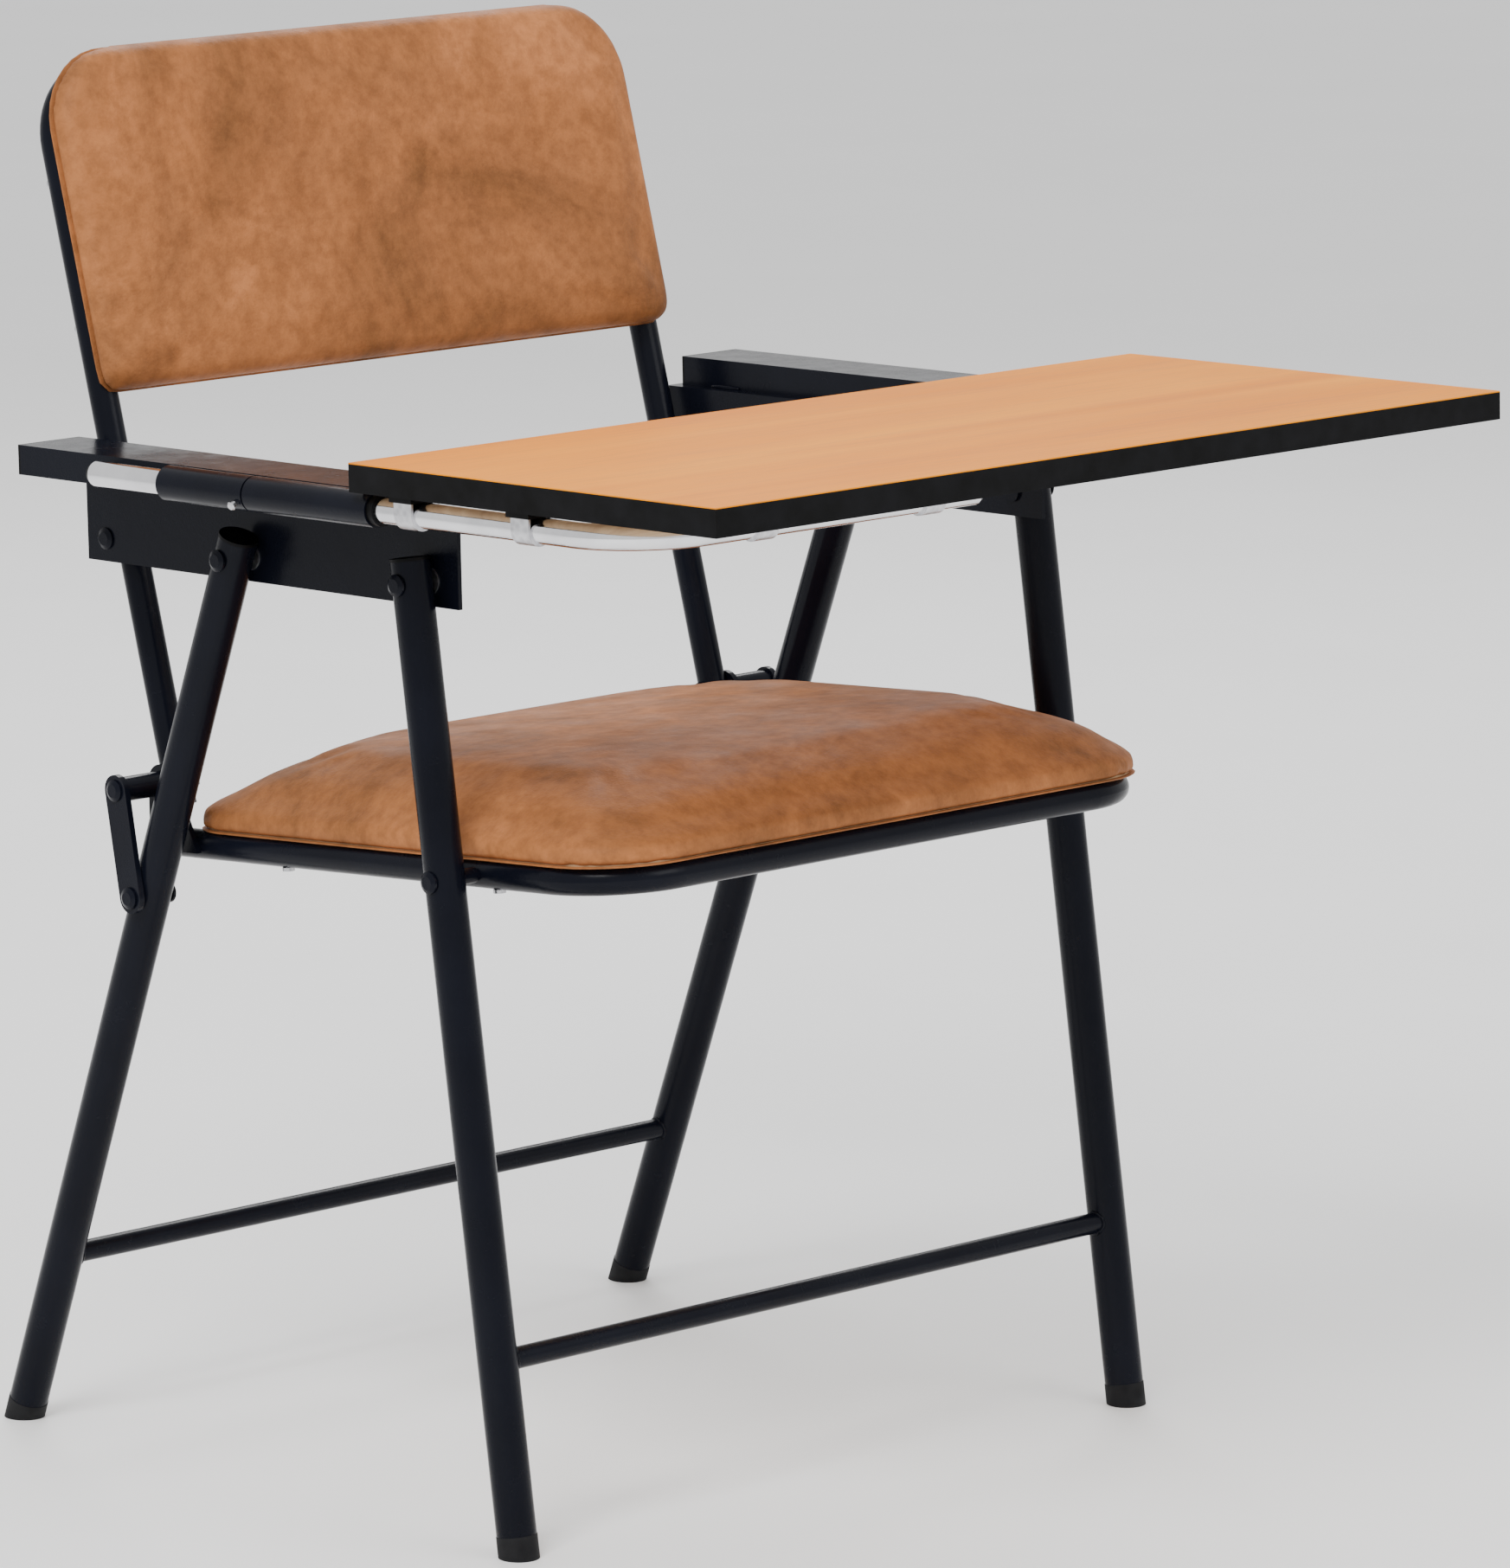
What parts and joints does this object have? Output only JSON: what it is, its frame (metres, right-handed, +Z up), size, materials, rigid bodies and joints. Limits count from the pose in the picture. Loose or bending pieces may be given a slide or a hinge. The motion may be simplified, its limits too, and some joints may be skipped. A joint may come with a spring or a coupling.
{
  "type": "folding student desk chair",
  "caption": "Folding steel-tube student chair with padded seat and back, two arms, and a wide writing pad that slides and swings on a bent rod.",
  "frame": {"origin": "on the floor, under the middle of the whole chair", "axes": "+Z up, the chair faces -Y, the sitter's right is -X"},
  "size_m": [0.68, 0.7536, 0.8997],
  "materials": {
    "black_powder_coat": "semi-gloss black powder coat with a faint navy cast",
    "black_plastic": "moulded black plastic",
    "black_rubber": "black rubber",
    "chrome_rod": "bright chrome plate",
    "zinc_steel": "zinc-plated steel",
    "tan_leatherette": "mottled tan-brown leatherette with a soft sheen",
    "plywood": "bare plywood",
    "wood_laminate": "orange-yellow wood-grain laminate, satin"
  },
  "bodies": {
    "rear_legs": {"rear_leg_right": "black_powder_coat", "rear_leg_left": "black_powder_coat", "rear_stretcher": "black_powder_coat", "rear_leg_caps": "black_plastic", "rear_feet": "black_rubber", "link_rivets": "black_powder_coat"},
    "links": {"link_right": "black_powder_coat", "link_left": "black_powder_coat", "link_nuts": "black_powder_coat"},
    "arms": {"arm_tube_right": "black_powder_coat", "arm_tube_left": "black_powder_coat", "arm_bracket_right": "black_powder_coat", "arm_bracket_left": "black_powder_coat", "arm_end_plugs": "black_plastic", "pad_sleeve_rear": "black_powder_coat", "pad_sleeve_front": "black_powder_coat", "sleeve_bushes": "black_plastic", "sleeve_screw": "zinc_steel", "pad_rest_button": "black_rubber", "back_pivot_bolts": "black_powder_coat", "back_pivot_spacers": "black_powder_coat", "rear_leg_bolts": "black_powder_coat", "front_leg_bolts": "black_powder_coat", "leg_washers": "zinc_steel"},
    "front_legs": {"front_leg_right": "black_powder_coat", "front_leg_left": "black_powder_coat", "front_stretcher": "black_powder_coat", "front_leg_caps": "black_plastic", "front_feet": "black_rubber", "seat_pivot_bolts": "black_powder_coat"},
    "back": {"back_frame": "black_powder_coat", "back_frame_plugs": "black_plastic", "backrest_board": "plywood", "backrest_pad": "tan_leatherette", "backrest_screws": "zinc_steel", "seat_hinge_bolts": "black_powder_coat", "seat_hinge_spacers": "black_powder_coat"},
    "seat": {"seat_frame": "black_powder_coat", "seat_rear_bar": "black_powder_coat", "seat_tabs": "black_powder_coat", "seat_frame_plugs": "black_plastic", "seat_board": "plywood", "seat_cushion": "tan_leatherette", "seat_screws": "zinc_steel"},
    "pad_slider": {"rod_thrust_ring": "black_plastic"},
    "pad": {"pad_rod": "chrome_rod", "pad_rod_plugs": "black_plastic", "pad_board": "plywood", "pad_laminate": "wood_laminate", "pad_edge_band": "black_plastic", "pad_packers": "black_plastic", "pad_clips": "zinc_steel", "pad_clip_screws": "zinc_steel"}
  },
  "joints": [
    {"name": "frame_fold", "type": "hinge", "parent": "rear_legs", "child": "arms", "pos_m": [0, 0.13822, 0.596], "axis": [-1, 0, 0], "range_deg": [0, 50]},
    {"name": "back_fold", "type": "hinge", "parent": "arms", "child": "back", "pos_m": [0, 0.27993, 0.59112], "axis": [1, 0, 0], "range_deg": [0, 87.18]},
    {"name": "front_leg_fold", "type": "hinge", "parent": "arms", "child": "front_legs", "pos_m": [0, -0.03105, 0.6], "axis": [1, 0, 0], "range_deg": [0, 74.19]},
    {"name": "seat_fold", "type": "hinge", "parent": "back", "child": "seat", "pos_m": [0, 0.23696, 0.437], "axis": [-1, 0, 0], "range_deg": [0, 87.64]},
    {"name": "link_fold", "type": "hinge", "parent": "rear_legs", "child": "links", "pos_m": [0, 0.22382, 0.369], "axis": [-1, 0, 0], "range_deg": [0, 107.97]},
    {"name": "pad_slide", "type": "slide", "parent": "arms", "child": "pad_slider", "axis": [0, -0.9997, 0.0244], "range_m": [0, 0.055]},
    {"name": "pad_swing", "type": "hinge", "parent": "pad_slider", "child": "pad", "pos_m": [-0.3251, -0.06273, 0.65514], "axis": [0, -0.9997, 0.0244], "range_deg": [0, 250]}
  ],
  "couplings": [
    {"joint": "back_fold", "follows": "frame_fold", "ratio": 1.7435},
    {"joint": "front_leg_fold", "follows": "frame_fold", "ratio": 1.4837},
    {"joint": "seat_fold", "follows": "frame_fold", "ratio": 1.7526},
    {"joint": "link_fold", "follows": "frame_fold", "ratio": 2.1591}
  ]
}
